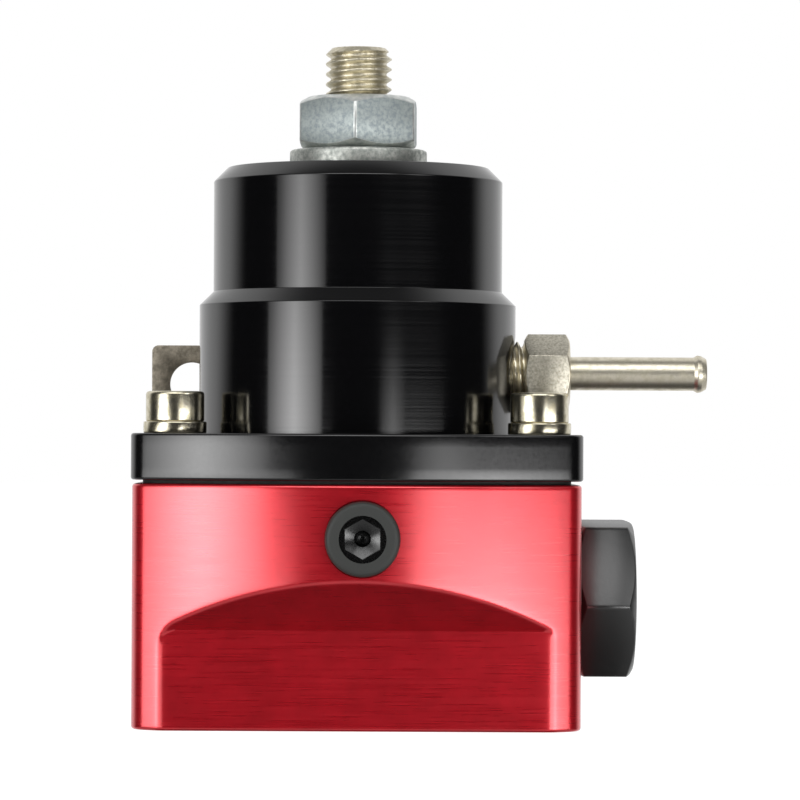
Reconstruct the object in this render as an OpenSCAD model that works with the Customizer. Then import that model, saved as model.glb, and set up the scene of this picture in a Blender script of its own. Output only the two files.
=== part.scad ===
// Adjustable fuel pressure regulator: a bowed block with fuel ports, a turned spring cover,
// a diaphragm valve between them, and a screw on top that sets the spring.
// Millimetres, +Z up. The origin is the middle of the return port's mouth, under the body.
// The front, with the gauge port, faces -Y, and the vacuum nipple points to +X.

/* [Body] */
// Width of the body across its two port faces
body_w = 65; // [62:0.5:72]
// Depth of the body from front to back, at the middle
body_d = 58; // [56:0.5:64]
// Height of the body
body_h = 35.5; // [34:0.1:42]
// Radius of the bowed front and back
bow_r = 60; // [52:1:90]
// Radius of the upright corners of the body and the cover's flange
corner_r = 3.8; // [1:0.1:4.5]
// Rounding along the top and bottom edges of the body
body_edge_r = 0.5; // [0.4:0.1:1.3]
// Half the width of the pocket milled into the lower front
pocket_half_w = 28.3; // [22:0.1:29]
// Height of the flat part of the pocket
pocket_h = 14.5; // [10:0.1:15]
// Slope of the pocket's roof, from level
pocket_slope = 45; // [30:1:48]

/* [Fuel chamber] */
// Radius of the fuel chamber round the middle post
chamber_r = 17; // [15:0.1:17.5]
// Height of the chamber's floor
chamber_floor = 9; // [7:0.1:9.5]
// Radius of the relief above and below the diaphragm
relief_r = 18.5; // [17.6:0.1:19.5]
// Depth of that relief on each side of the diaphragm
relief_h = 4; // [3:0.1:5]
// Radius of the post that carries the valve seat
post_r = 9; // [8.5:0.1:10]

/* [Ports] */
// Height of the two side ports
port_z = 18.6; // [17.5:0.1:20]
// Radius of a side port's tapped hole
port_r = 8.75; // [7.8:0.05:8.8]
// Depth of a side port's tapped hole
port_depth = 13.5; // [12:0.1:14.5]
// Radius of a side port's seal seat, at the face
port_mouth_r = 11; // [10.5:0.1:11]
// Depth of that seal seat
port_mouth_depth = 2.6; // [2.2:0.1:3]
// Radius of the passage from a side port into the chamber
port_passage_r = 6.5; // [5:0.1:7]
// Radius of the return port's tapped hole
return_r = 6.45; // [5.5:0.05:6.6]
// Depth of the return port's tapped hole
return_depth = 12; // [10:0.1:13]
// Radius of the return passage under the valve seat
return_passage_r = 3; // [2.6:0.1:3.6]
// Sideways place of the gauge port
gauge_x = 0.8; // [-2:0.1:2]
// Distance of the gauge port below the body's top
gauge_drop = 7.7; // [7:0.1:8]
// Radius of the gauge port's tapped hole
gauge_r = 5.4; // [5:0.05:5.6]
// Depth of the gauge port's tapped hole
gauge_depth = 8.5; // [7:0.1:9]
// Radius of the passage from the gauge port into the chamber
gauge_passage_r = 3.9; // [3:0.1:4]
// Edge break at the mouths of the return port and the gauge port
mouth_break = 0.4; // [0.2:0.1:0.5]

/* [Diaphragm and valve] */
// Thickness of the diaphragm
diaphragm_t = 0.5; // [0.4:0.1:1.5]
// How far the diaphragm's edge lies inside the body's outline
diaphragm_inset = 1.5; // [1:0.1:2]
// Least rubber round each screw's hole in the diaphragm
diaphragm_wall = 1; // [0.5:0.1:1.5]
// Radius of the plate above the diaphragm
plate_r = 15.5; // [14.5:0.1:16.5]
// Thickness of that plate
plate_t = 2; // [1.5:0.1:3]
// Radius of the valve stem's flange, under the diaphragm
stem_flange_r = 12; // [10:0.1:14]
// Thickness of that flange
stem_flange_t = 2; // [1.5:0.1:2.5]
// Radius of the valve stem's threaded end
stem_r = 3; // [2.5:0.1:3.5]
// Width across the flats of the stem's nut
stem_nut_af = 10; // [9:0.5:13]
// Height of the stem's nut
stem_nut_h = 5; // [4:0.1:6]
// Radius of the valve ball
ball_r = 4; // [3.5:0.1:4.5]
// Solid height above the ball, inside the stem
ball_roof = 1.2; // [1:0.1:2]
// Wall of the stem's boss round the ball
ball_wall = 1.4; // [1.2:0.1:2]
// How far that boss ends above the ball's middle
ball_show = 0.8; // [0.5:0.1:1.2]
// How far the stem stands out of its nut
stem_end = 1; // [0.5:0.1:2]
// Radius of the hole through the valve seat
seat_bore_r = 2.5; // [2:0.1:2.6]
// Radius of the valve seat's pressed shank
seat_r = 5; // [4.5:0.1:5.5]
// Length of the valve seat's pressed shank
seat_shank_h = 6; // [4:0.1:7]
// Height of the valve seat above the post
seat_h = 3; // [2.5:0.1:4]
// How far the valve seat's flange stands out past its shank
seat_flange = 1; // [0.5:0.1:1.5]
// Width of the valve seat's rim
seat_rim = 1; // [0.5:0.1:1.5]

/* [Spring cover] */
// Thickness of the cover's flange
flange_t = 6.75; // [5:0.05:9]
// How far the flange stands out past the body on each side
flange_lip = 0.2; // [0:0.05:0.5]
// Rounding along the flange's edges
flange_edge_r = 0.4; // [0.2:0.1:0.8]
// Radius of the cover's lower barrel
lower_r = 23.5; // [22.5:0.1:24.5]
// Height of the lower barrel above the flange
lower_h = 19.05; // [18:0.05:24]
// Radius of the cover's upper barrel
upper_r = 21.45; // [20:0.05:22]
// Height of the upper barrel above the step
upper_h = 18.4; // [17:0.1:24]
// Height of the sloped step between the barrels
step_h = 2; // [1:0.1:3]
// Bevel round the cover's top
top_bevel = 2.05; // [1:0.05:2.5]
// Radius of the spring's bore in the cover
spring_bore_r = 17.5; // [17:0.1:18]
// Thickness of the cover's tapped roof
roof_t = 10.2; // [8:0.1:11]

/* [Spring] */
// Diameter of the spring's wire
wire_d = 3; // [2:0.1:3.4]
// Radius of the spring at the middle of its wire
spring_r = 12; // [11.5:0.1:13]
// Set length of the spring
spring_len = 27.5; // [25:0.1:28]
// Number of turns
spring_turns = 6.5; // [5:0.5:7]
// Gap between the close turns at each end
coil_gap = 0.15; // [0.1:0.05:0.3]
// Radius of the upper spring seat
cup_r = 14.5; // [14:0.1:16.5]
// Thickness of the upper spring seat
cup_t = 3; // [2.5:0.1:3.5]
// Height of the bosses that centre the spring
pilot_h = 1.5; // [1:0.1:2]

/* [Adjuster] */
// Radius of the adjusting screw
screw_r = 4.9; // [4:0.05:5]
// Height of the adjusting screw above the cover
screw_proud = 17.9; // [15:0.1:26]
// Bevel at the adjusting screw's ends
screw_bevel = 1; // [0.5:0.1:1.2]
// Width across the flats of the hexagon socket in its end
screw_socket_af = 5; // [4:0.5:5]
// Depth of that socket
screw_socket_h = 6; // [4:0.1:8]
// Depth of the screw's point in the upper spring seat
screw_seat_h = 1.5; // [1:0.1:2]
// Width across the flats of the lock nut
nut_af = 17; // [15:0.5:19]
// Height of the lock nut
nut_h = 7.9; // [6:0.1:10]
// Turn of the lock nut
nut_turn = 87; // [60:1:120]
// Radius of the washer under the lock nut
washer_r = 10.2; // [9.5:0.1:12]
// Thickness of that washer
washer_t = 2.7; // [1.5:0.1:3]

/* [Vacuum nipple] */
// Height of the nipple's axis above the flange
nipple_rise = 9.15; // [8:0.05:12]
// Radius of the nipple's thread
nipple_thread_r = 4.7; // [4:0.05:5]
// Length of thread that shows between the cover and the hexagon
nipple_gap = 1.3; // [1:0.1:4]
// Bevel round the nipple's hole in the cover
nipple_sink = 1; // [0.4:0.1:1.2]
// Width across the flats of the nipple's hexagon
nipple_af = 10.2; // [9:0.1:13]
// Length of the nipple's hexagon
nipple_hex_l = 6.7; // [4:0.1:9]
// Turn of the nipple's hexagon
nipple_turn = 3.6; // [-30:0.1:30]
// Radius of the nipple's tube
tube_r = 2.4; // [2:0.05:3]
// Length of the nipple's tube
tube_l = 20.4; // [14:0.1:30]
// Radius of the bead near the tube's end
bead_r = 2.8; // [2.6:0.05:3.4]
// Length of the bead, to the tube's end
bead_l = 2; // [1.2:0.1:3]
// Radius of the tube's end
tip_r = 2.2; // [1.9:0.05:2.4]
// Radius of the hole through the nipple
nipple_bore_r = 1.3; // [0.8:0.1:1.5]

/* [Port plugs] */
// How far the gauge plug stands out of the body
gauge_plug_proud = 1.7; // [0.5:0.1:3]
// Rounding of the gauge plug's rim
gauge_rim_r = 1; // [0.4:0.1:1.2]
// Space left behind the gauge plug in its port
gauge_plug_gap = 1; // [0.5:0.1:2]
// Width across the flats of the gauge plug's socket
gauge_socket_af = 5; // [4:0.1:6]
// Depth of that socket
gauge_socket_h = 5; // [3:0.1:6]
// Bevel round that socket
gauge_socket_break = 0.5; // [0.3:0.1:0.7]
// Width across the flats of the side port's plug
plug_af = 22.2; // [22:0.1:26]
// Height of that plug's head
plug_head_h = 8.5; // [6:0.1:12]
// Turn of that plug's head
plug_turn = 5.7; // [-30:0.1:30]
// Length of that plug's thread
plug_thread_l = 11; // [9:0.1:11.5]
// Bevel at the end of that thread
plug_bevel = 1; // [0.5:0.1:1.5]
// Depth of the neck that holds the plug's O-ring
plug_neck_depth = 1.15; // [1:0.05:1.3]
// Thickness of the plug's O-ring
plug_ring_d = 1.8; // [1.4:0.1:1.9]

/* [Screws] */
// Radius of the circle on which the cover screws lie
bolt_circle_r = 30; // [29:0.1:30.5]
// Angle of each cover screw from the left-right line
bolt_angle = 28; // [25:0.5:30]
// Radius of a cover screw's shank
bolt_r = 2.45; // [2:0.05:2.5]
// Radius of a cover screw's head
head_r = 4.25; // [3.8:0.05:4.4]
// Height of a cover screw's head
head_h = 4.4; // [4:0.1:6]
// Bevel round a cover screw's head
head_bevel = 0.5; // [0.2:0.1:0.8]
// Width across the flats of a cover screw's socket
head_socket_af = 4; // [3:0.5:4]
// Depth of that socket
head_socket_h = 2.8; // [2:0.1:3]
// Length of a cover screw's thread in the body
bolt_grip = 10; // [8:0.1:11]
// Depth of a cover screw's hole past the screw's end
bolt_spare = 1; // [0.5:0.1:2]
// Radius of a lock washer
lock_r = 4.6; // [4.4:0.05:5]
// Thickness of a lock washer
lock_t = 1.7; // [1:0.1:2]
// Width of the slit in a lock washer
lock_slit = 0.9; // [0.5:0.1:1.4]
// Slant of that slit
lock_slant = 35; // [20:1:45]

/* [Bracket] */
// Width of the bracket
bracket_w = 64; // [62:0.5:72]
// Thickness of the bracket's sheet
sheet_t = 1.5; // [1:0.1:2]
// Height of the bracket above the flange
bracket_h = 13.75; // [13:0.05:24]
// How far the bracket reaches forward of its screws
bracket_reach = 6; // [5:0.1:10]
// Inside radius of the bracket's fold
fold_r = 1.5; // [1:0.1:2.5]
// Half the distance between the bracket's mounting holes
mount_x = 25.8; // [20:0.1:27]
// Height of those holes above the flange
mount_rise = 7.7; // [7:0.1:9]
// Radius of those holes
mount_r = 3.4; // [2.5:0.1:3.6]
// Least metal round each of those holes
mount_wall = 1.6; // [1:0.1:1.6]
// Least metal past a screw's head on the bracket
lug_wall = 0.75; // [0.3:0.05:1]
// Rounding of the bracket's corners
bracket_corner_r = 1; // [0.5:0.1:3]

/* [Fits] */
// Radial play of a thread that turns
run_play = 0.05; // [0.02:0.01:0.1]
// Radial play of a screw in a plain hole
hole_play = 0.3; // [0.2:0.05:0.5]
// Gap between the valve ball and its seat when shut
ball_gap = 0.1; // [0.05:0.01:0.2]
// Gap between the cover and the bracket round it
bracket_gap = 1; // [0.5:0.1:1.5]
// Gap between the flange and the bracket's upright leg
bracket_back_gap = 0.3; // [0.1:0.1:1]

/* [Hexagons] */
// Bevel at the corners of a hexagon, from square
hex_bevel = 30; // [20:1:40]

/* [Hidden] */

$fn = 96;
// How far a cutting shape runs past the face that it cuts
over = 1;

// Heights of the stacked pieces
flange_z = body_h + diaphragm_t;
flange_top = flange_z + flange_t;
step_z = flange_top + lower_h;
upper_z = step_z + step_h;
cover_top = upper_z + upper_h;
roof_z = cover_top - roof_t;
washer_top = cover_top + washer_t;
plate_top = flange_z + plate_t;
spring_top = plate_top + spring_len;
screw_tip = spring_top + cup_t - screw_seat_h;
screw_top = cover_top + screw_proud;

// Heights of the valve, from the diaphragm down
ball_z = body_h - ball_roof - ball_r - run_play;
seat_top = ball_z - sqrt(pow(ball_r, 2) - pow(seat_bore_r, 2)) - ball_gap;
post_top = seat_top - seat_h;
stem_boss_r = ball_r + ball_wall;
stem_boss_z = ball_z + ball_show;
stem_top = plate_top + pilot_h + stem_nut_h + stem_end;

// Front of the body and depth of its pocket
front_y = -body_d / 2;
pocket_depth = bow_r - sqrt(pow(bow_r, 2) - pow(pocket_half_w, 2));

// Places of the ports
side_x = body_w / 2;
gauge_z = body_h - gauge_drop;
gauge_passage_l = -front_y - post_r - over;
nipple_z = flange_top + nipple_rise;
plug_neck_r = port_r - plug_neck_depth;

// Places of the cover screws
bolt_x = bolt_circle_r * cos(bolt_angle);
bolt_y = bolt_circle_r * sin(bolt_angle);
bolt_hole_r = bolt_r + hole_play;
bolt_tip = body_h - bolt_grip;
lug_r = head_r + lug_wall;

// Back of the bracket, just behind the flange
bracket_y = body_d / 2 + flange_lip + bracket_back_gap;
spring_pilot_r = spring_r - wire_d / 2 - hole_play;

// A revolved shape's outline: a rectangle with its two outer corners rounded
module rounded_edge_2d(r, h, edge) {
    difference() {
        square([r, h]);
        for (up = [0, 1]) translate([r - edge, up == 1 ? h - edge : edge])
            difference() {
                translate([0, up == 1 ? 0 : -edge - over]) square([edge + over, edge + over]);
                circle(edge);
            }
    }
}

// The waste outside one upright corner's rounding, in the first quadrant
module corner_waste_2d(w, d, bow, corner) {
    bow_y = d / 2 - bow;
    x = w / 2 - corner;
    y = bow_y + sqrt(pow(bow - corner, 2) - pow(x, 2));
    lean = atan2(y - bow_y, x);
    reach = 4 * corner;
    translate([x, y]) difference() {
        polygon([[0, 0], [reach, 0], [reach, reach], [reach * cos(lean), reach * sin(lean)]]);
        circle(corner);
    }
}

// A block with flat sides, bowed front and back, rounded edges and rounded upright corners
module bowed_block(h, grow, edge) {
    w = body_w + 2 * grow;
    d = body_d + 2 * grow;
    bow = bow_r + grow;
    difference() {
        intersection() {
            translate([0, bow - d / 2, 0]) rotate_extrude($fn = 180) rounded_edge_2d(bow, h, edge);
            translate([0, d / 2 - bow, 0]) rotate_extrude($fn = 180) rounded_edge_2d(bow, h, edge);
            rotate([90, 0, 0]) linear_extrude(d + 2 * over, center = true) union() {
                rounded_edge_2d(w / 2, h, edge);
                mirror([1, 0]) rounded_edge_2d(w / 2, h, edge);
            }
        }
        for (mx = [0, 1], my = [0, 1])
            mirror([mx, 0, 0]) mirror([0, my, 0]) translate([0, 0, -over])
                linear_extrude(h + 2 * over) corner_waste_2d(w, d, bow, corner_r);
    }
}

// A plain sheet with the same outline and sharp edges
module bowed_sheet(h, grow) {
    w = body_w + 2 * grow;
    d = body_d + 2 * grow;
    bow = bow_r + grow;
    linear_extrude(h) difference() {
        intersection() {
            translate([0, bow - d / 2]) circle(bow, $fn = 180);
            translate([0, d / 2 - bow]) circle(bow, $fn = 180);
            square([w, d], center = true);
        }
        for (mx = [0, 1], my = [0, 1])
            mirror([mx, 0]) mirror([0, my]) corner_waste_2d(w, d, bow, corner_r);
    }
}

// A hexagon bar with both ends bevelled, standing on z = 0
module bevelled_hex(af, h) {
    corner = af / sqrt(3);
    drop = (corner - af / 2) * tan(hex_bevel);
    intersection() {
        cylinder(r = corner, h = h, $fn = 6);
        rotate_extrude() polygon([
            [0, 0], [af / 2, 0], [corner, drop], [corner, h - drop], [af / 2, h], [0, h]
        ]);
    }
}

// A hexagon bar set so that its size is across the flats
module hex_bar(af, h) {
    cylinder(r = af / sqrt(3), h = h, $fn = 6);
}

// A hole with a bevelled mouth at z = 0, going down
module broken_hole(r, depth, edge) {
    translate([0, 0, -depth]) cylinder(r = r, h = depth + over);
    translate([0, 0, -edge]) cylinder(r1 = r, r2 = r + edge, h = edge);
    cylinder(r = r + edge, h = over);
}

// Places its children at each cover screw: 1 for the front pair, -1 for the back pair
module at_bolts(rows) {
    for (side = [-1, 1], row = rows) translate([side * bolt_x, -row * bolt_y, 0]) children();
}

// One tapped side port: its seal seat, thread and passage, with z = 0 on the body's face
module side_port() {
    translate([0, 0, -port_depth]) cylinder(r = port_r, h = port_depth + over);
    translate([0, 0, -port_mouth_depth])
        cylinder(r1 = port_r, r2 = port_mouth_r, h = port_mouth_depth);
    cylinder(r = port_mouth_r, h = over);
    translate([0, 0, -(side_x - post_r - over)]) cylinder(r = port_passage_r, h = side_x - post_r);
}

// Turns a shape that stands on z = 0 so that it points out of the right or left port face
module at_side_port(side) {
    translate([side * side_x, 0, port_z]) rotate([0, side * 90, 0]) children();
}

// Turns a shape that stands on z = 0 so that it points out of the gauge port
module at_gauge_port() {
    translate([gauge_x, front_y, gauge_z]) rotate([90, 0, 0]) children();
}

// The pocket milled across the lower front, flat below and sloped above
module front_pocket() {
    flat_y = front_y + pocket_depth;
    rise = (pocket_depth + over) * tan(pocket_slope);
    rotate([90, 0, 90]) linear_extrude(body_w + 2 * over, center = true) polygon([
        [front_y - over, -over], [flat_y, -over], [flat_y, pocket_h],
        [front_y - over, pocket_h + rise]
    ]);
}

module regulator_body() color("#c4122f") difference() {
    bowed_block(body_h, 0, body_edge_r);
    front_pocket();
    rotate_extrude() polygon([
        [0, post_top], [post_r, post_top], [post_r, chamber_floor], [chamber_r, chamber_floor],
        [chamber_r, body_h - relief_h], [relief_r, body_h - relief_h],
        [relief_r, body_h + over], [0, body_h + over]
    ]);
    rotate([180, 0, 0]) broken_hole(return_r, return_depth, mouth_break);
    cylinder(r = return_passage_r, h = post_top + over);
    translate([0, 0, post_top - seat_shank_h]) cylinder(r = seat_r, h = seat_shank_h + over);
    for (side = [-1, 1]) at_side_port(side) side_port();
    at_gauge_port() {
        broken_hole(gauge_r, gauge_depth, mouth_break);
        translate([0, 0, -gauge_passage_l]) cylinder(r = gauge_passage_r, h = gauge_passage_l);
    }
    at_bolts([-1, 1]) translate([0, 0, bolt_tip - bolt_spare])
        cylinder(r = bolt_r + run_play, h = body_h);
}

module spring_cover() color("#17181a") difference() {
    union() {
        translate([0, 0, flange_z]) bowed_block(flange_t, flange_lip, flange_edge_r);
        rotate_extrude() polygon([
            [0, flange_z + over], [lower_r, flange_z + over], [lower_r, step_z], [upper_r, upper_z],
            [upper_r, cover_top - top_bevel], [upper_r - top_bevel, cover_top], [0, cover_top]
        ]);
    }
    translate([0, 0, flange_z - over]) cylinder(r = spring_bore_r, h = roof_z - flange_z + over);
    translate([0, 0, flange_z - over]) cylinder(r = relief_r, h = relief_h + over);
    translate([0, 0, cover_top]) broken_hole(screw_r + run_play, roof_t + over, mouth_break);
    at_bolts([-1, 1]) {
        translate([0, 0, flange_z - over]) cylinder(r = bolt_hole_r, h = flange_t + 2 * over);
        translate([0, 0, flange_top]) cylinder(r = lug_r + bracket_gap, h = cover_top - flange_top);
    }
    translate([0, 0, nipple_z]) rotate([0, 90, 0]) translate([0, 0, lower_r])
        broken_hole(nipple_thread_r + run_play, lower_r, nipple_sink);
}

module diaphragm() color("#3a2f2c") translate([0, 0, body_h]) difference() {
    union() {
        bowed_sheet(diaphragm_t, -diaphragm_inset);
        at_bolts([-1, 1]) cylinder(r = bolt_hole_r + diaphragm_wall, h = diaphragm_t);
    }
    translate([0, 0, -over]) cylinder(r = stem_r + run_play, h = diaphragm_t + 2 * over);
    at_bolts([-1, 1]) translate([0, 0, -over]) cylinder(r = bolt_hole_r, h = diaphragm_t + 2 * over);
}

module diaphragm_plate() color("#b9bcc0") rotate_extrude() polygon([
    [stem_r + run_play, flange_z], [plate_r, flange_z], [plate_r, plate_top],
    [spring_pilot_r, plate_top], [spring_pilot_r, plate_top + pilot_h],
    [stem_r + run_play, plate_top + pilot_h]
]);

module valve_stem() color("#a9adb2") difference() {
    rotate_extrude() polygon([
        [0, stem_boss_z], [stem_boss_r, stem_boss_z], [stem_boss_r, body_h - stem_flange_t],
        [stem_flange_r, body_h - stem_flange_t], [stem_flange_r, body_h], [stem_r, body_h],
        [stem_r, stem_top], [0, stem_top]
    ]);
    translate([0, 0, ball_z]) sphere(ball_r + run_play);
}

module stem_nut() color("#9a9ea3") difference() {
    translate([0, 0, plate_top + pilot_h]) bevelled_hex(stem_nut_af, stem_nut_h);
    translate([0, 0, plate_top]) cylinder(r = stem_r + run_play, h = pilot_h + stem_nut_h + over);
}

module valve_ball() color("#d5d8db") translate([0, 0, ball_z]) sphere(ball_r);

module valve_seat() color("#b8923e") rotate_extrude() polygon([
    [seat_bore_r, post_top - seat_shank_h], [seat_r - run_play, post_top - seat_shank_h],
    [seat_r - run_play, post_top], [seat_r + seat_flange, post_top],
    [seat_r + seat_flange, post_top + seat_h / 2],
    [seat_bore_r + seat_rim, seat_top], [seat_bore_r, seat_top]
]);

// Height of the spring's wire after t turns: close end turns, even turns between them
function spring_rise(t) =
    let (
        close = wire_d + coil_gap,
        climb = spring_len - wire_d,
        even = (climb - 2 * close) / (spring_turns - 2)
    )
    t < 1 ? close * t
    : t < spring_turns - 1 ? close + even * (t - 1)
    : climb - close * (spring_turns - t);

module main_spring() color("#8d9196") {
    sides = 12;
    rings_per_turn = 20;
    rings = round(spring_turns * rings_per_turn);
    points = [
        for (i = [0 : rings], s = [0 : sides - 1])
            let (
                t = i * spring_turns / rings,
                r = spring_r + wire_d / 2 * cos(s * 360 / sides),
                z = plate_top + wire_d / 2 + spring_rise(t) + wire_d / 2 * sin(s * 360 / sides)
            )
            [r * cos(t * 360), r * sin(t * 360), z]
    ];
    walls = [
        for (i = [0 : rings - 1], s = [0 : sides - 1])
            let (a = i * sides + s, b = i * sides + (s + 1) % sides)
            [a, b, b + sides, a + sides]
    ];
    caps = [
        [for (s = [sides - 1 : -1 : 0]) s],
        [for (s = [0 : sides - 1]) rings * sides + s]
    ];
    polyhedron(points, concat(walls, caps));
}

module spring_seat() color("#a9adb2") difference() {
    rotate_extrude() polygon([
        [0, spring_top - pilot_h], [spring_pilot_r, spring_top - pilot_h], [spring_pilot_r, spring_top],
        [cup_r, spring_top], [cup_r, spring_top + cup_t], [0, spring_top + cup_t]
    ]);
    translate([0, 0, screw_tip]) cylinder(r = screw_r + 2 * run_play, h = screw_seat_h + over);
}

module adjusting_screw() color("#cfc9b8") difference() {
    rotate_extrude() polygon([
        [0, screw_tip], [screw_r - screw_bevel, screw_tip], [screw_r, screw_tip + screw_bevel],
        [screw_r, screw_top - screw_bevel], [screw_r - screw_bevel, screw_top], [0, screw_top]
    ]);
    translate([0, 0, screw_top - screw_socket_h]) hex_bar(screw_socket_af, screw_socket_h + over);
}

module lock_nut() color("#b3b8bd") difference() {
    translate([0, 0, washer_top]) rotate([0, 0, nut_turn]) bevelled_hex(nut_af, nut_h);
    translate([0, 0, washer_top + nut_h]) broken_hole(screw_r + run_play, nut_h + over, mouth_break);
}

module flat_washer() color("#a7abb0") rotate_extrude() polygon([
    [screw_r + hole_play, cover_top], [washer_r, cover_top], [washer_r, washer_top],
    [screw_r + hole_play, washer_top]
]);

module vacuum_nipple() color("#cdc7b4") {
    hex_x = lower_r + nipple_gap;
    tube_x = hex_x + nipple_hex_l;
    tip_x = tube_x + tube_l;
    translate([0, 0, nipple_z]) rotate([0, 90, 0]) difference() {
        union() {
            translate([0, 0, spring_bore_r])
                cylinder(r = nipple_thread_r, h = hex_x - spring_bore_r + over);
            translate([0, 0, hex_x]) rotate([0, 0, nipple_turn])
                bevelled_hex(nipple_af, nipple_hex_l);
            rotate_extrude() polygon([
                [0, hex_x + over], [tube_r, hex_x + over], [tube_r, tip_x - bead_l],
                [bead_r, tip_x - bead_l * 3 / 4], [bead_r, tip_x - bead_l / 2],
                [tip_r, tip_x], [0, tip_x]
            ]);
        }
        cylinder(r = nipple_bore_r, h = tip_x + over);
    }
}

module gauge_port_plug() color("#26282b") at_gauge_port() difference() {
    r = gauge_r - run_play;
    length = gauge_plug_proud + gauge_depth - gauge_plug_gap;
    mouth_r = gauge_socket_af / 2;
    translate([0, 0, gauge_plug_proud - length])
        rotate_extrude() rounded_edge_2d(r, length, gauge_rim_r);
    translate([0, 0, gauge_plug_proud - gauge_socket_h])
        hex_bar(gauge_socket_af, gauge_socket_h + over);
    translate([0, 0, gauge_plug_proud - gauge_socket_break])
        cylinder(r1 = mouth_r, r2 = mouth_r + 2 * gauge_socket_break, h = 2 * gauge_socket_break);
}

module inlet_port_plug() color("#1f2123") at_side_port(1) {
    rotate([0, 0, 90 + plug_turn]) bevelled_hex(plug_af, plug_head_h);
    rotate_extrude() polygon([
        [0, -plug_thread_l], [port_r - run_play - plug_bevel, -plug_thread_l],
        [port_r - run_play, plug_bevel - plug_thread_l], [port_r - run_play, -port_mouth_depth],
        [plug_neck_r, -port_mouth_depth], [plug_neck_r, over], [0, over]
    ]);
}

module inlet_plug_o_ring() color("#111214") at_side_port(1)
    translate([0, 0, -plug_ring_d / 2 - run_play]) rotate_extrude()
        translate([plug_neck_r + run_play + plug_ring_d / 2, 0]) circle(plug_ring_d / 2);

// One socket head screw with the underside of its head at z
module cap_screw(z) {
    difference() {
        union() {
            translate([0, 0, z]) rotate_extrude() polygon([
                [0, 0], [head_r, 0], [head_r, head_h - head_bevel],
                [head_r - head_bevel, head_h], [0, head_h]
            ]);
            translate([0, 0, bolt_tip]) cylinder(r = bolt_r, h = z - bolt_tip + over);
        }
        translate([0, 0, z + head_h - head_socket_h]) hex_bar(head_socket_af, head_socket_h + over);
    }
}

module cover_screws() color("#cbc6b6") {
    at_bolts([1]) cap_screw(flange_top + lock_t);
    at_bolts([-1]) cap_screw(flange_top + sheet_t);
}

module lock_washers() color("#bdb8a8") at_bolts([1]) translate([0, 0, flange_top]) difference() {
    cylinder(r = lock_r, h = lock_t);
    translate([0, 0, -over]) cylinder(r = bolt_hole_r, h = lock_t + 2 * over);
    translate([0, 0, lock_t / 2]) rotate([0, lock_slant, 90]) translate([lock_r, 0, 0])
        cube([2 * lock_r, lock_slit, 4 * lock_t], center = true);
}

// The bracket's section: a flat leg, a round fold and an upright leg, seen from the left
module bracket_section_2d() {
    outer = fold_r + sheet_t;
    front = bolt_y - bracket_reach;
    back = bracket_y + sheet_t;
    translate([front, 0]) square([back - outer - front, sheet_t]);
    translate([bracket_y, outer]) square([sheet_t, bracket_h - outer]);
    intersection() {
        translate([back - outer, outer]) difference() {
            circle(outer);
            circle(fold_r);
        }
        translate([back - outer, 0]) square([outer, outer]);
    }
}

// Rounds the two outer corners of a plate's end: the waste, with the plate's middle on x = 0
module end_waste_2d(w, r) {
    for (mx = [0, 1]) mirror([mx, 0]) translate([w / 2 - r, -r]) difference() {
        square([r + over, r + over]);
        circle(r);
    }
}

// Places its children on the bracket's upright leg at each mounting hole, standing on its front
module at_mounting_holes() {
    for (side = [-1, 1]) translate([side * mount_x, bracket_y, mount_rise]) rotate([-90, 0, 0])
        children();
}

// The folded sheet before its holes: cut clear of the cover, with rounded corners
module bracket_blank() {
    difference() {
        rotate([90, 0, 90]) linear_extrude(bracket_w, center = true) bracket_section_2d();
        translate([0, 0, -over]) cylinder(r = lower_r + bracket_gap, h = sheet_t + fold_r + 2 * over);
        translate([0, bracket_y + sheet_t + over, bracket_h]) rotate([90, 0, 0])
            linear_extrude(sheet_t + 2 * over) end_waste_2d(bracket_w, bracket_corner_r);
        translate([0, bolt_y - bracket_reach, -over]) mirror([0, 1, 0])
            linear_extrude(sheet_t + 2 * over) end_waste_2d(bracket_w, bracket_corner_r);
    }
}

// The rounds keep metal round the holes when the sheet is narrow
module mounting_bracket() color("#a39b8c") translate([0, 0, flange_top]) difference() {
    union() {
        bracket_blank();
        at_bolts([-1]) cylinder(r = lug_r, h = sheet_t);
        at_mounting_holes() cylinder(r = mount_r + mount_wall, h = sheet_t);
    }
    at_bolts([-1]) translate([0, 0, -over]) cylinder(r = bolt_hole_r, h = sheet_t + 2 * over);
    at_mounting_holes() translate([0, 0, -over]) cylinder(r = mount_r, h = sheet_t + 2 * over);
}

regulator_body();
spring_cover();
diaphragm();
diaphragm_plate();
valve_stem();
stem_nut();
valve_ball();
valve_seat();
main_spring();
spring_seat();
adjusting_screw();
lock_nut();
flat_washer();
vacuum_nipple();
gauge_port_plug();
inlet_port_plug();
inlet_plug_o_ring();
cover_screws();
lock_washers();
mounting_bracket();
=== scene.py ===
# %% [markdown]
# # An adjustable fuel pressure regulator
#
# A regulator keeps the fuel in an engine at a set pressure. Its red block holds the ports, its black
# cover holds a spring, and a diaphragm between them opens a valve. The solids were made first, and
# they are loaded here as a fixed frame. Each cell below dresses one piece of that frame.

import math

import bmesh
import bpy
from mathutils import Matrix, Vector


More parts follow.
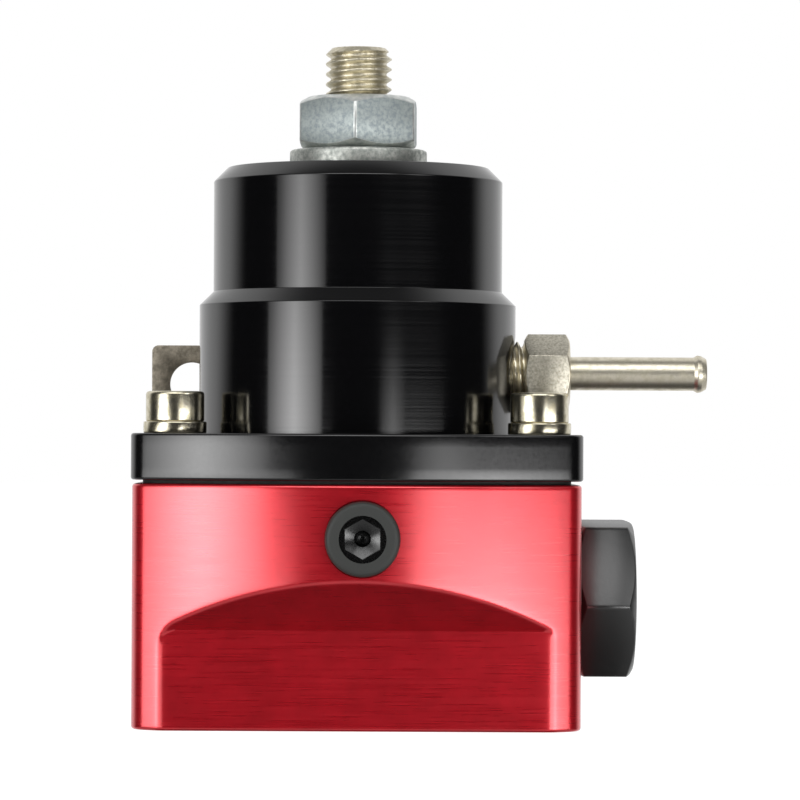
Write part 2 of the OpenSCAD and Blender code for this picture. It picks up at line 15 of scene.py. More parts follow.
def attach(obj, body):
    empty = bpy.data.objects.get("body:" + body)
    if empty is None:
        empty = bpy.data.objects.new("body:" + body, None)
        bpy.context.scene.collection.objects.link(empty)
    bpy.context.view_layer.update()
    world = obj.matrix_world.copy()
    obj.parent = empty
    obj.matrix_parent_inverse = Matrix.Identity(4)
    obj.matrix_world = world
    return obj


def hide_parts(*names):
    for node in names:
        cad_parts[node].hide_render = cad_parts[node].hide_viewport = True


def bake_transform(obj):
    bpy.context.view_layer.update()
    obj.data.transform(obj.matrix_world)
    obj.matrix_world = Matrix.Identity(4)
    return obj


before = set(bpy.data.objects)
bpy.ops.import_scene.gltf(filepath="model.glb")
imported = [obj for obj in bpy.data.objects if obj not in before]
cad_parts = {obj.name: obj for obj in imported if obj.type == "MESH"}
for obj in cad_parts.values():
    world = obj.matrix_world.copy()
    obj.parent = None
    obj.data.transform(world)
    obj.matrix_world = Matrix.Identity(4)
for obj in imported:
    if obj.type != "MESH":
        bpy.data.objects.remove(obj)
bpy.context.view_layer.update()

# %% [markdown]
# ## Tools of the bench
#
# Most pieces here are turned on a lathe or milled from a block, so two helpers make most of the shapes:
# one spins a profile round an axis, and one lays a closed skin over rings of points. Sizes are written in
# millimetres, as on a drawing, and become metres when the mesh is made.

# %% Mesh helpers
MM = 0.001


def new_object(name, data):
    """An object with this data, linked to the scene."""
    item = bpy.data.objects.new(name, data)
    bpy.context.scene.collection.objects.link(item)
    return item


def new_piece(name, points, faces):
    """A mesh object from points in millimetres, closed and with its faces pointing outwards."""
    mesh = bpy.data.meshes.new(name)
    mesh.from_pydata([Vector(p) * MM for p in points], [], faces)
    piece = new_object(name, mesh)
    close_seams(piece)
    return piece


def close_seams(piece):
    """Merges points that meet, fills open ends and turns every face outwards."""
    work = bmesh.new()
    work.from_mesh(piece.data)
    bmesh.ops.remove_doubles(work, verts=work.verts, dist=0.0005 * MM)
    open_edges = [edge for edge in work.edges if edge.is_boundary]
    bmesh.ops.holes_fill(work, edges=open_edges, sides=0)
    bmesh.ops.recalc_face_normals(work, faces=work.faces)
    work.to_mesh(piece.data)
    work.free()


def bake(piece):
    """Turns the result of a piece's modifiers into its plain mesh."""
    graph = bpy.context.evaluated_depsgraph_get()
    piece.data = bpy.data.meshes.new_from_object(piece.evaluated_get(graph))
    piece.modifiers.clear()
    return piece


def combine(piece, tools, operation):
    """Cuts tools out of a piece, joins them to it or keeps what is common, and takes the tools away."""
    for tool in tools:
        step = piece.modifiers.new(operation.lower(), "BOOLEAN")
        step.operation = operation
        step.solver = "MANIFOLD"
        step.object = tool
    bake(piece)
    for tool in tools:
        bpy.data.objects.remove(tool)
    return piece


# %% Turned shapes
def turned(name, profile, around=128):
    """Spins a profile of (radius, height) points round the upright axis."""
    count = len(profile)
    points, faces = [], []
    for i in range(around):
        angle = 2 * math.pi * i / around
        points += [(r * math.cos(angle), r * math.sin(angle), z) for r, z in profile]
        j = (i + 1) % around
        faces += [
            (i * count + k, j * count + k, j * count + k + 1, i * count + k + 1)
            for k in range(count - 1)
        ]
    return new_piece(name, points, faces)


def eased(corners, steps=4):
    """A profile with its corners rounded: each corner is (radius, height) or (radius, height, rounding)."""
    profile = [corners[0][:2]]
    for before, corner, after in zip(corners, corners[1:], corners[2:]):
        point = Vector(corner[:2])
        rounding = corner[2] if len(corner) > 2 else 0
        if not rounding:
            profile.append(tuple(point))
            continue
        into = (Vector(before[:2]) - point).normalized()
        out = (Vector(after[:2]) - point).normalized()
        reach = rounding / math.tan(into.angle(out) / 2)
        for i in range(steps + 1):
            t = i / steps
            bend = into * (reach * (1 - t) ** 2) + out * (reach * t ** 2)
            profile.append(tuple(point + bend))
    profile.append(corners[-1][:2])
    return profile


def rod(name, radius, bottom, top, around=128):
    """A plain round bar, for drilling holes."""
    return turned(name, [(0, bottom), (radius, bottom), (radius, top), (0, top)], around)


# %% Skins over rings
def loft(name, rings):
    """A closed skin over rings of points, with a cap at each end."""
    size, last = len(rings[0]), len(rings) - 1
    faces = [tuple(range(size)), tuple(range(last * size, (last + 1) * size))]
    for k in range(last):
        low, high = k * size, (k + 1) * size
        faces += [(low + i, low + (i + 1) % size, high + (i + 1) % size, high + i) for i in range(size)]
    return new_piece(name, [point for ring in rings for point in ring], faces)


def hexagon_bar(name, flats, bottom, top, turn=0):
    """A plain six-sided bar, as wide as flats, for cutting sockets."""
    corner = flats / math.sqrt(3)
    angles = [math.radians(turn + 60 * i) for i in range(6)]
    return loft(name, [
        [(corner * math.cos(a), corner * math.sin(a), z) for a in angles] for z in (bottom, top)
    ])


def wrench_head(name, flats, height, turn, break_width):
    """A hexagon with turned bevels at both ends and softened corners, standing on zero."""
    face_r = flats / 2 - break_width
    corner_cut, corner_soft = 0.005 * flats, 0.003 * flats
    limit = flats / math.sqrt(3) - corner_cut
    slope = math.tan(math.radians(30))
    ease, step = 0.1, 0.03
    near_corner = [0.3, 0.6, 1, 1.5, 2.2]
    sector = [0, *near_corner, 12, 21, 30, 39, 48, *(60 - a for a in reversed(near_corner))]
    rings = [[] for _ in range(8)]
    for degrees in [60 * k + s for k in range(6) for s in sector]:
        sharp = flats / 2 / math.cos(math.radians(degrees % 60 - 30))
        r = (sharp + limit - math.hypot(sharp - limit, corner_soft)) / 2
        drop = (r - face_r) * slope
        side = [(face_r - ease, 0), (face_r, step), (r - 3 * step, drop - step), (r, drop + ease)]
        side += [(radius, height - z) for radius, z in reversed(side)]
        angle = math.radians(degrees + turn)
        for ring, (radius, z) in zip(rings, side):
            ring.append((radius * math.cos(angle), radius * math.sin(angle), z))
    return loft(name, rings)


# %% Moves and turns
def place(piece, matrix):
    """Moves a mesh to its place, so that its object stays at the origin."""
    piece.data.transform(matrix)
    return piece


def at(x=0, y=0, z=0):
    """A move, in millimetres."""
    return Matrix.Translation(Vector((x, y, z)) * MM)


TO_RIGHT = Matrix.Rotation(math.radians(90), 4, "Y")
TO_LEFT = Matrix.Rotation(math.radians(-90), 4, "Y")
TO_FRONT = Matrix.Rotation(math.radians(90), 4, "X")

# %% [markdown]
# ## Nodes and colours
#
# Materials and Geometry Nodes are both node trees, so one function adds a node to either, and short ones
# built on it make the kinds that come back often. Colours are written as the hexadecimal values that a
# paint shop would quote. The shader needs them linear, and one function does that. Noise in a material
# gets its scale from the size of a real feature in millimetres.

# %% Node helpers
def feed(tree, node, values):
    """Gives sockets of a node a constant value, or links the socket that feeds them."""
    for socket, value in values.items():
        if isinstance(value, bpy.types.NodeSocket):
            tree.links.new(value, node.inputs[socket])
        else:
            node.inputs[socket].default_value = value


def add(tree, kind, links=None, **settings):
    """Adds one node: settings are its properties, and links give its sockets a value or a source."""
    node = tree.nodes.new(kind)
    for name, value in settings.items():
        setattr(node, name, value)
    feed(tree, node, links or {})
    return node


def maths(tree, operation, *values):
    """The result of a maths node for its one, two or three values."""
    return add(tree, "ShaderNodeMath", dict(enumerate(values)), operation=operation).outputs[0]


def ranged(tree, value, start, end, **settings):
    """A value carried over from the range start to the range end."""
    return add(tree, "ShaderNodeMapRange", {
        "Value": value, "From Min": start[0], "From Max": start[1], "To Min": end[0], "To Max": end[1],
    }, **settings).outputs["Result"]


def axes_of(tree, vector):
    """The X, Y and Z of a vector, as three sockets."""
    return add(tree, "ShaderNodeSeparateXYZ", {"Vector": vector}).outputs


def vector_of(tree, **axes):
    """A vector from the axes that are given."""
    return add(tree, "ShaderNodeCombineXYZ", axes).outputs["Vector"]


# %% Material helpers
NOISE_RANGE = (0.3, 0.7)  # where most values of a noise lie


def linear(colour):
    """The linear value of an sRGB colour such as "#c4122f"."""
    parts = [int(colour[i:i + 2], 16) / 255 for i in (1, 3, 5)]
    return [p / 12.92 if p <= 0.04045 else ((p + 0.055) / 1.055) ** 2.4 for p in parts] + [1.0]


def per_mm(size):
    """The scale that gives noise features of this size in millimetres."""
    return 1 / (size * MM)


def new_material(name):
    """An empty material with its shader, its output and the coordinates of the piece."""
    material = bpy.data.materials.new(name)
    material.use_nodes = True
    tree = material.node_tree
    tree.nodes.clear()
    shader = add(tree, "ShaderNodeBsdfPrincipled")
    add(tree, "ShaderNodeOutputMaterial", {"Surface": shader.outputs["BSDF"]})
    where = add(tree, "ShaderNodeTexCoord").outputs["Object"]
    return material, tree, shader, where


def noise(tree, where, size, detail, roughness=0.5, **settings):
    """Noise with features of this size in millimetres."""
    return add(tree, "ShaderNodeTexNoise", {
        "Vector": where, "Scale": per_mm(size), "Detail": detail, "Roughness": roughness,
    }, **settings).outputs["Fac"]


def two_tone(tree, mix, stops, dark, light):
    """A colour that runs from dark to light between two stops of the mix."""
    ramp = add(tree, "ShaderNodeValToRGB", {"Fac": mix})
    for element, stop, colour in zip(ramp.color_ramp.elements, stops, (dark, light)):
        element.position = stop
        element.color = linear(colour)
    return ramp.outputs["Color"]


def relief(tree, height, strength, depth):
    """The normal of a fine relief, this many millimetres deep."""
    return add(tree, "ShaderNodeBump", {
        "Height": height, "Strength": strength, "Distance": depth * MM,
    }).outputs["Normal"]


def set_shader(shader, **values):
    """Sets the shader's own sockets to a constant, or links what feeds them."""
    feed(shader.id_data, shader, {name.replace("_", " "): value for name, value in values.items()})


# %% [markdown]
# ## Red anodised aluminium
#
# The block is milled, brushed along its length and dyed red in the anodising bath. The dye sits in a
# clear oxide layer on bright metal. So the metal gives a deep red reflection, and the oxide adds a pale
# one on top, which turns the highlights pink. A coat layer on a red metal does the same. The dye also
# scatters a little light by itself, so the metal is not set to its full share. The brushing leaves long
# scratches, which are drawn coarser than life so that they still show.

# %% Material: red anodised aluminium
SCRATCH_LONG, SCRATCH_WIDE = 9, 0.16
red_anodised, tree, shader, where = new_material("red_anodised_aluminium")
stretched = add(tree, "ShaderNodeMapping", {
    "Vector": where, "Scale": [per_mm(size) for size in (SCRATCH_LONG, SCRATCH_LONG, SCRATCH_WIDE)],
}).outputs["Vector"]
brushing = add(tree, "ShaderNodeTexNoise", {
    "Vector": stretched, "Scale": 1.0, "Detail": 4.0, "Roughness": 0.65,
}).outputs["Fac"]
cloud = noise(tree, where, 5, 7.0, 0.62)
depth = maths(tree, "MULTIPLY_ADD", brushing, 0.2, cloud)
set_shader(
    shader, Metallic=0.8, Specular_IOR_Level=0.0, Coat_Weight=1.0, Coat_IOR=1.74,
    Base_Color=two_tone(tree, depth, (0.42, 0.8), "#c80d21", "#de1328"),
    Roughness=ranged(tree, brushing, NOISE_RANGE, (0.26, 0.34)),
    Coat_Roughness=ranged(tree, brushing, NOISE_RANGE, (0.16, 0.24)),
    Normal=relief(tree, brushing, 0.05, 0.02),
)
print("made", red_anodised.name)

# %% [markdown]
# ## Black anodised aluminium
#
# The cover is turned, so fine rings run round it, and it is dyed black. The dye hides the metal almost
# completely, and only the clear oxide mirrors the lights. That is a dark surface with a plain gloss, and
# its rings blur the reflection along the axis. The ring pattern uses the distance from the axis and the
# height, so it runs round the barrels and across the flat top alike. The flange is milled and duller.

# %% Material: black anodised aluminium, turned and milled
OXIDE_IOR = 1.62
black_turned, tree, shader, where = new_material("black_anodised_aluminium_turned")
axes = axes_of(tree, where)
sideways = vector_of(tree, X=axes["X"], Y=axes["Y"])
from_axis = add(tree, "ShaderNodeVectorMath", {0: sideways}, operation="LENGTH").outputs["Value"]
section = vector_of(tree, X=from_axis, Y=axes["Z"])
rings = noise(tree, section, 0.35, 3.0, 0.7, noise_dimensions="2D")
around_axis = add(tree, "ShaderNodeTangent", direction_type="RADIAL", axis="Z")
set_shader(
    shader, Base_Color=linear("#030304"), IOR=OXIDE_IOR, Anisotropic=0.5, Anisotropic_Rotation=0.25,
    Roughness=ranged(tree, rings, NOISE_RANGE, (0.1, 0.15)),
    Normal=relief(tree, rings, 0.05, 0.02),
    Tangent=around_axis.outputs["Tangent"],
)

black_milled, tree, shader, where = new_material("black_anodised_aluminium_milled")
swirl = noise(tree, where, 0.5, 4.0, 0.65)
set_shader(
    shader, Base_Color=linear("#040405"), IOR=OXIDE_IOR,
    Roughness=ranged(tree, swirl, NOISE_RANGE, (0.14, 0.2)),
    Normal=relief(tree, swirl, 0.06, 0.02),
)
print("made", black_turned.name, "and", black_milled.name)

# %% [markdown]
# ## Plated steel
#
# The screws, the stud and the nipple are nickel plated: a bright metal with a warm, slightly yellow
# tint. The nipple's hexagon keeps the grain of its bar, and its tube is smoother. The nut and the washer
# are zinc plated, which is bluer, duller and cloudy. The nut's ends, bevels and corners get a paler,
# glossier zinc, which is a painted highlight along its edges. The bracket's sheet is dull zinc with a
# rough grain. One function makes these metals from a few values, because they differ only in their
# colours, their gloss and the size of their clouds and grain.

# %% Material: plated metals
def plated(name, dark, light, gloss, cloud_mm, grain_mm, grain_depth):
    """A plated metal: two colours in clouds, a range of roughness, and a fine grain."""
    material, tree, shader, where = new_material(name)
    clouds = noise(tree, where, cloud_mm, 5.0, 0.6)
    pits = noise(tree, where, grain_mm, 2.0)
    set_shader(
        shader, Metallic=1.0,
        Base_Color=two_tone(tree, clouds, (0.36, 0.62), dark, light),
        Roughness=ranged(tree, clouds, (0.35, 0.65), gloss[::-1]),
        Normal=relief(tree, pits, 0.25, grain_depth),
    )
    return material


nickel = plated("nickel_plated_steel", "#beb69b", "#dcd5c0", (0.18, 0.26), 1.2, 0.3, 0.02)
nickel_stud = plated("nickel_plated_stud", "#c3bca5", "#ddd6c2", (0.34, 0.46), 0.8, 0.2, 0.05)
nickel_tube = plated("nickel_plated_tube", "#cec7b1", "#e4ddcb", (0.32, 0.4), 1.2, 0.22, 0.03)
nickel_hexagon = plated("nickel_plated_hexagon", "#a6a192", "#cac5b7", (0.4, 0.5), 0.35, 0.2, 0.08)
zinc = plated("zinc_plated_steel", "#9ca5a8", "#b4bcba", (0.5, 0.6), 0.6, 0.3, 0.05)
# the nut's paler edge zinc is a painted highlight along its edges
zinc_edge_highlight = plated("zinc_plated_edge", "#c3c8c7", "#dfe1de", (0.4, 0.5), 1.2, 0.3, 0.04)
zinc_washer = plated("zinc_plated_washer", "#a0a5a0", "#d0d2cc", (0.44, 0.56), 0.7, 0.25, 0.05)
zinc_sheet = plated("dull_zinc_sheet", "#756f63", "#9c9486", (0.42, 0.58), 1.0, 0.4, 0.12)
turned_steel = plated("ground_steel", "#9ea2a6", "#b9bcbf", (0.22, 0.32), 2.0, 0.3, 0.02)
turned_alloy = plated("turned_aluminium", "#b9bbbd", "#d0d2d3", (0.25, 0.36), 2.0, 0.3, 0.02)
seat_brass = plated("turned_brass", "#b08a3a", "#c9a552", (0.22, 0.32), 2.0, 0.3, 0.02)
print("made", len([m for m in bpy.data.materials if m.use_nodes]), "materials so far")

# %% [markdown]
# ## Black plugs and rubber
#
# The hexagon plug is bead blasted before it is dyed, so it has no shine and a fine tooth. The gauge plug
# is black oxide steel, matt on its face. Its socket is glossier and darker, and the darker colour is
# painted shade inside the socket. All are dark surfaces with a soft gloss, and the rubber of the
# diaphragm and the seal is darker and flatter still.

# %% Material: dark finishes
def dark_finish(name, colour, gloss, tooth_mm, tooth_depth, ior=1.5):
    """A dark surface with a fine tooth and a soft gloss that varies a little."""
    material, tree, shader, where = new_material(name)
    tooth = noise(tree, where, tooth_mm, 3.0, 0.6)
    set_shader(
        shader, Base_Color=linear(colour), IOR=ior,
        Roughness=ranged(tree, tooth, NOISE_RANGE, gloss),
        Normal=relief(tree, tooth, 0.3, tooth_depth),
    )
    return material


GLOSSY_IOR = 1.75
blasted_black = dark_finish("blasted_black_aluminium", "#161717", (0.3, 0.38), 0.3, 0.03, GLOSSY_IOR)
black_oxide = dark_finish("black_oxide_steel", "#2b2d2b", (0.5, 0.6), 0.35, 0.05)
# the socket's darker colour is painted shade; its lower roughness is its gloss
socket_shade_oxide = dark_finish("oiled_black_oxide", "#0d0d0d", (0.22, 0.3), 0.35, 0.02, GLOSSY_IOR)
diaphragm_rubber = dark_finish("fabric_rubber", "#1a1513", (0.6, 0.75), 0.4, 0.1)
seal_rubber = dark_finish("seal_rubber", "#101010", (0.5, 0.6), 0.5, 0.05)
print("made", blasted_black.name, "and four more dark finishes")

# %% [markdown]
# ## Handing a piece to the frame
#
# A finished piece gets its material, rides on the body that carries it and hides the solid that it
# stands for. Edges sharper than the given angle stay crisp, and the rest is shaded smooth.

# %% Fit a piece to the frame
def shade(piece, crisp=35):
    """Shades a piece smooth, and keeps edges crisp that bend by more than this many degrees."""
    piece.data.shade_smooth()
    piece.data.set_sharp_from_angle(angle=math.radians(crisp))


def two_finishes(piece, first, second, on_second):
    """Gives a piece its first finish, and its second one on the faces that on_second picks."""
    piece.data.materials.clear()
    for material in (first, second):
        piece.data.materials.append(material)
    for face in piece.data.polygons:
        face.material_index = int(on_second(face))


def fit(piece, node, body, material=None, crisp=35):
    """Shades a piece, gives it its material and sets it in the place of a solid."""
    shade(piece, crisp)
    if material:
        piece.data.materials.clear()
        piece.data.materials.append(material)
    if body:
        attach(piece, body)
    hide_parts(node)
    print(piece.name, "stands for", node, "with", len(piece.data.polygons), "faces")


# %% [markdown]
# ## Threads
#
# A screw thread is a rule more than a shape: the radius at any point depends only on how far round and
# how far along it lies. So a Geometry Nodes tree wraps a flat grid into a tube and sets each point's
# radius from that rule. The same tree gives the stud's thread, the nipple's thread and, used as a
# cutter, the tapped ports.

# %% Geometry Nodes: helpers
def inputs_of(tree, sizes):
    """Declares a tree's named inputs: whole numbers for counts and lengths for the rest."""
    for name, value in sizes.items():
        kind = "NodeSocketInt" if isinstance(value, int) else "NodeSocketFloat"
        tree.interface.new_socket(name, in_out="INPUT", socket_type=kind).default_value = value


def end_tree(tree, geometry):
    """Ends a tree in real geometry with a material."""
    tree.interface.new_socket("Material", in_out="INPUT", socket_type="NodeSocketMaterial")
    tree.interface.new_socket("Geometry", in_out="OUTPUT", socket_type="NodeSocketGeometry")
    real = add(tree, "GeometryNodeRealizeInstances", {"Geometry": geometry})
    source = add(tree, "NodeGroupInput")
    coated = add(tree, "GeometryNodeSetMaterial", {
        "Geometry": real.outputs["Geometry"], "Material": source.outputs["Material"],
    })
    add(tree, "NodeGroupOutput", {"Geometry": coated.outputs["Geometry"]})


def grown(name, tree, base=None, **values):
    """Runs a tree on a new object and keeps the result as a plain mesh."""
    piece = new_object(name, base or bpy.data.meshes.new(name))
    growth = piece.modifiers.new(name, "NODES")
    growth.node_group = tree
    for item in tree.interface.items_tree:
        key = item.name.replace(" ", "_").lower()
        if item.in_out == "INPUT" and key in values:
            growth[item.identifier] = values[key]
    return bake(piece)


# %% Geometry Nodes: a threaded bar
thread_tree = bpy.data.node_groups.new("threaded_bar", "GeometryNodeTree")
tree = thread_tree
inputs_of(tree, {
    "Crest Radius": 0.005, "Root Radius": 0.004, "Pitch": 0.0015, "Length": 0.02,
    "Lead In": 0.001, "Steps Around": 72, "Steps Along": 100,
})
source = add(tree, "NodeGroupInput").outputs
sheet = add(tree, "GeometryNodeMeshGrid", {
    "Size X": 1.0, "Size Y": 1.0, "Vertices Y": source["Steps Along"],
    "Vertices X": maths(tree, "ADD", source["Steps Around"], 1.0),
})
spot = axes_of(tree, add(tree, "GeometryNodeInputPosition").outputs["Position"])
turn = maths(tree, "ADD", spot["X"], 0.5)
share = maths(tree, "ADD", spot["Y"], 0.5)
height = maths(tree, "MULTIPLY", share, source["Length"])
pitches = maths(tree, "DIVIDE", height, source["Pitch"])
phase = maths(tree, "SUBTRACT", pitches, turn)
part = maths(tree, "WRAP", phase, 1.0, 0.0)
off_crest = maths(tree, "ABSOLUTE", maths(tree, "SUBTRACT", part, 0.5))
ridge = ranged(tree, off_crest, (0.07, 0.4), (source["Crest Radius"], source["Root Radius"]))
rest = maths(tree, "SUBTRACT", source["Length"], height)
end_gap = maths(tree, "MINIMUM", rest, height)
face_r = maths(tree, "SUBTRACT", source["Crest Radius"], source["Lead In"])
bevel_r = maths(tree, "ADD", face_r, end_gap)
radius = maths(tree, "MINIMUM", ridge, bevel_r)
angle = maths(tree, "MULTIPLY", turn, math.tau)
across = maths(tree, "COSINE", angle)
deep = maths(tree, "SINE", angle)
x, y = maths(tree, "MULTIPLY", across, radius), maths(tree, "MULTIPLY", deep, radius)
tube = add(tree, "GeometryNodeSetPosition", {
    "Geometry": sheet.outputs["Mesh"], "Position": vector_of(tree, X=x, Y=y, Z=height),
})
seamed = add(tree, "GeometryNodeMergeByDistance", {
    "Geometry": tube.outputs["Geometry"], "Distance": 0.0005 * MM,
})
end_tree(tree, seamed.outputs["Geometry"])


def threaded_bar(name, crest, root, pitch, length, lead_in, around=80, per_pitch=14):
    """A threaded bar in millimetres, standing on zero and closed at both ends."""
    piece = grown(
        name, thread_tree, crest_radius=crest * MM, root_radius=root * MM, pitch=pitch * MM,
        length=length * MM, lead_in=lead_in * MM, steps_around=around,
        steps_along=int(length / pitch * per_pitch),
    )
    close_seams(piece)
    return piece


print("made the tree", thread_tree.name, "with", len(thread_tree.nodes), "nodes")

# %% [markdown]
# ## The red block
#
# The block has flat ends, a bowed front and back, rounded edges and a pocket milled into its lower
# front. It could be cut from plain solids, but then every edge would be knife sharp. Here its outline is
# stacked in fine rows from bottom to top, and the front points are pushed back to the pocket with a soft
# maximum, which leaves a small rounding along the pocket's edge, as a cutter and the brushing do. One row
# lies on the fold between the pocket and the ramp above it, because that fold is crisp.

# %% Outline of the block and the flange
BODY_W, BODY_D, BODY_H = 65.0, 58.0, 35.5
BOW_R, CORNER_R = 60.0, 3.8


def bowed_outline(inset, bow_steps, side_steps=16, corner_steps=14):
    """The block's outline, anticlockwise from the right side, drawn in by inset."""
    half_w, half_d = BODY_W / 2 - inset, BODY_D / 2 - inset
    bow, corner = BOW_R - inset, CORNER_R - inset
    bow_y = half_d - bow
    x = half_w - corner
    y = bow_y + math.sqrt((bow - corner) ** 2 - x ** 2)
    lean = math.atan2(y - bow_y, x)

    def arc(cx, cy, r, start, end, steps):
        turn = [start + (end - start) * i / steps for i in range(steps)]
        return [(cx + r * math.cos(a), cy + r * math.sin(a)) for a in turn]

    right = [(half_w, -y + 2 * y * i / side_steps) for i in range(side_steps)]
    back = arc(x, y, corner, 0, lean, corner_steps)
    back += arc(0, bow_y, bow, lean, math.pi - lean, bow_steps)
    back += arc(-x, y, corner, math.pi - lean, math.pi, corner_steps)
    left_front = [(-px, -py) for px, py in right + back]
    return right + back + left_front


def stacked_block(name, bottom, height, grow, edge, row_mm, bow_steps, push=None, fold=None):
    """Rows of the outline from bottom to top, with rounded edges; push moves points of a row.

    The row nearest to the height of a fold is set on it, so that the fold stays crisp."""
    edge_steps = 6
    rows = []
    for i in range(edge_steps):
        a = math.pi / 2 * i / edge_steps
        rows.append((edge * (1 - math.cos(a)), edge * (1 - math.sin(a))))
    count = round((height - 2 * edge) / row_mm)
    rows += [(edge + (height - 2 * edge) * i / count, 0) for i in range(count + 1)]
    if fold:
        nearest = min(range(len(rows)), key=lambda k: abs(rows[k][0] - fold))
        rows[nearest] = (fold, 0)
    rows += [(height - z, inset) for z, inset in reversed(rows[:edge_steps])]
    rings = []
    for z, inset in rows:
        outline = bowed_outline(inset - grow, bow_steps)
        rings.append([(x, push(x, y, z, inset) if push else y, bottom + z) for x, y in outline])
    return loft(name, rings)


# %% The milled pocket
POCKET_HALF_W, POCKET_H = 28.3, 14.5
POCKET_Y = -BODY_D / 2 + BOW_R - math.sqrt(BOW_R ** 2 - POCKET_HALF_W ** 2)
POCKET_ROUND = {-1: 2.4, 1: 1.0}
FOLD_SOFT, EDGE_SOFT, SIDE_MARGIN = 0.01, 0.3, 1.2


def milled_front(x, y, z, inset):
    """Pushes a point of the front back to the pocket's surface, with a soft edge."""
    if y > 0 or abs(x) > BODY_W / 2 - SIDE_MARGIN:
        return y
    corner = POCKET_ROUND[-1 if x < 0 else 1]
    past_side = max(abs(x) - (POCKET_HALF_W - corner), 0)
    past_top = max(z - (POCKET_H - corner), 0)
    outside = math.hypot(past_side, past_top) - corner
    rise = (outside + math.hypot(outside, FOLD_SOFT)) / 2
    pocket = POCKET_Y + inset - rise
    return (y + pocket + math.hypot(y - pocket, EDGE_SOFT)) / 2


body = stacked_block(
    "red_block", 0, BODY_H, grow=0, edge=0.5, row_mm=0.3, bow_steps=190, push=milled_front, fold=POCKET_H)
print("block before drilling:", len(body.data.polygons), "faces")

# %% [markdown]
# ## Ports in the block
#
# Both sides have a tapped port with a sloped seat for an O-ring. The right one is plugged. The return
# port is underneath, and the gauge port is in front. Inside, they meet in a chamber round the post
# that carries the valve seat. The cutters are turned shapes and threaded bars, taken away from the block.

# %% Sizes of the ports
PORT_Z, PORT_R, PORT_CREST, PORT_PITCH, PORT_DEPTH = 18.6, 8.75, 9.45, 1.5875, 13.5
MOUTH_R, MOUTH_DEPTH, PASSAGE_R, PASSAGE_END = 11.0, 2.6, 6.5, 22.5
RETURN_R, RETURN_CREST, RETURN_PITCH, RETURN_DEPTH = 6.45, 7.1, 1.411, 12
DRAIN_R, SEAT_R, SEAT_H = 3, 5, 6
GAUGE_X, GAUGE_Z, GAUGE_R, GAUGE_DEPTH = 0.8, 27.8, 5.4, 8.5
GAUGE_DRILL_R, GAUGE_END = 3.9, 19
POST_R, POST_TOP, CHAMBER_R, CHAMBER_FLOOR = 9.0, 24.03, 17, 9.0
RECESS_R, RECESS_FLOOR = 18.5, 31.5
BOLT_X, BOLT_Y, BOLT_R, BOLT_FLOOR = 26.488, 14.084, 2.5, 24.5
IN_LEFT_PORT = at(x=-BODY_W / 2, z=PORT_Z) @ TO_LEFT
IN_RIGHT_PORT = at(x=BODY_W / 2, z=PORT_Z) @ TO_RIGHT
IN_GAUGE_PORT = at(x=GAUGE_X, y=-BODY_D / 2, z=GAUGE_Z) @ TO_FRONT

# %% Drill the block
def port_cutter(name, matrix):
    """A side port: a sloped mouth, a thread and a passage to the chamber."""
    mouth = turned(name + "_mouth", [
        (0, 0.3), (MOUTH_R + 0.3, 0.3), (MOUTH_R, 0), (PORT_R, -MOUTH_DEPTH), (PORT_R, -PORT_DEPTH),
        (PASSAGE_R, -PORT_DEPTH - 0.4), (PASSAGE_R, -PASSAGE_END), (0, -PASSAGE_END),
    ])
    thread = threaded_bar(name + "_thread", PORT_CREST, PORT_R - 0.05, PORT_PITCH, 11.5, 0.8, 112, 12)
    place(thread, at(z=0.1 - PORT_DEPTH))
    return [place(tool, matrix) for tool in (mouth, thread)]


def screw_holes(radius, bottom, top):
    """Cutters for the four holes of the cover screws."""
    return [
        place(rod("screw_hole", radius, bottom, top, 32), at(x=side * BOLT_X, y=row * BOLT_Y))
        for side in (-1, 1) for row in (-1, 1)
    ]


tools = port_cutter("left_port", IN_LEFT_PORT) + port_cutter("right_port", IN_RIGHT_PORT)
tools.append(turned("return_port", [
    (0, -0.5), (RETURN_R + 0.95, -0.5), (RETURN_R, 0.45), (RETURN_R, RETURN_DEPTH),
    (DRAIN_R, RETURN_DEPTH + 1.5), (DRAIN_R, POST_TOP - SEAT_H), (SEAT_R, POST_TOP - SEAT_H),
    (SEAT_R, POST_TOP + 0.5), (0, POST_TOP + 0.5),
]))
return_thread = threaded_bar(
    "return_thread", RETURN_CREST, RETURN_R - 0.05, RETURN_PITCH, 10.2, 0.7, 96, 12)
tools.append(place(return_thread, at(z=0.7)))
tools.append(place(turned("gauge_port", [
    (0, 0.5), (GAUGE_R + 0.7, 0.5), (GAUGE_R, -0.2), (GAUGE_R, -GAUGE_DEPTH),
    (GAUGE_DRILL_R, -GAUGE_DEPTH - 1), (GAUGE_DRILL_R, -GAUGE_END), (0, -GAUGE_END),
]), IN_GAUGE_PORT))
tools.append(turned("chamber", [
    (0, POST_TOP), (POST_R, POST_TOP), (POST_R, CHAMBER_FLOOR), (CHAMBER_R, CHAMBER_FLOOR),
    (CHAMBER_R, RECESS_FLOOR), (RECESS_R, RECESS_FLOOR), (RECESS_R, BODY_H + 1), (0, BODY_H + 1),
]))
tools += screw_holes(BOLT_R, BOLT_FLOOR, BODY_H + 1)
combine(body, tools, "DIFFERENCE")
fit(body, "regulator_body", "housing", red_anodised, crisp=40)

# %% [markdown]
# ## The spring cover
#
# The cover is one piece of bar: a flange with the block's outline, and two barrels turned to size with a
# sloped step between them. The flange is stacked like the block, the barrels are spun from a profile
# with small roundings, and the two are joined before the bores are cut.

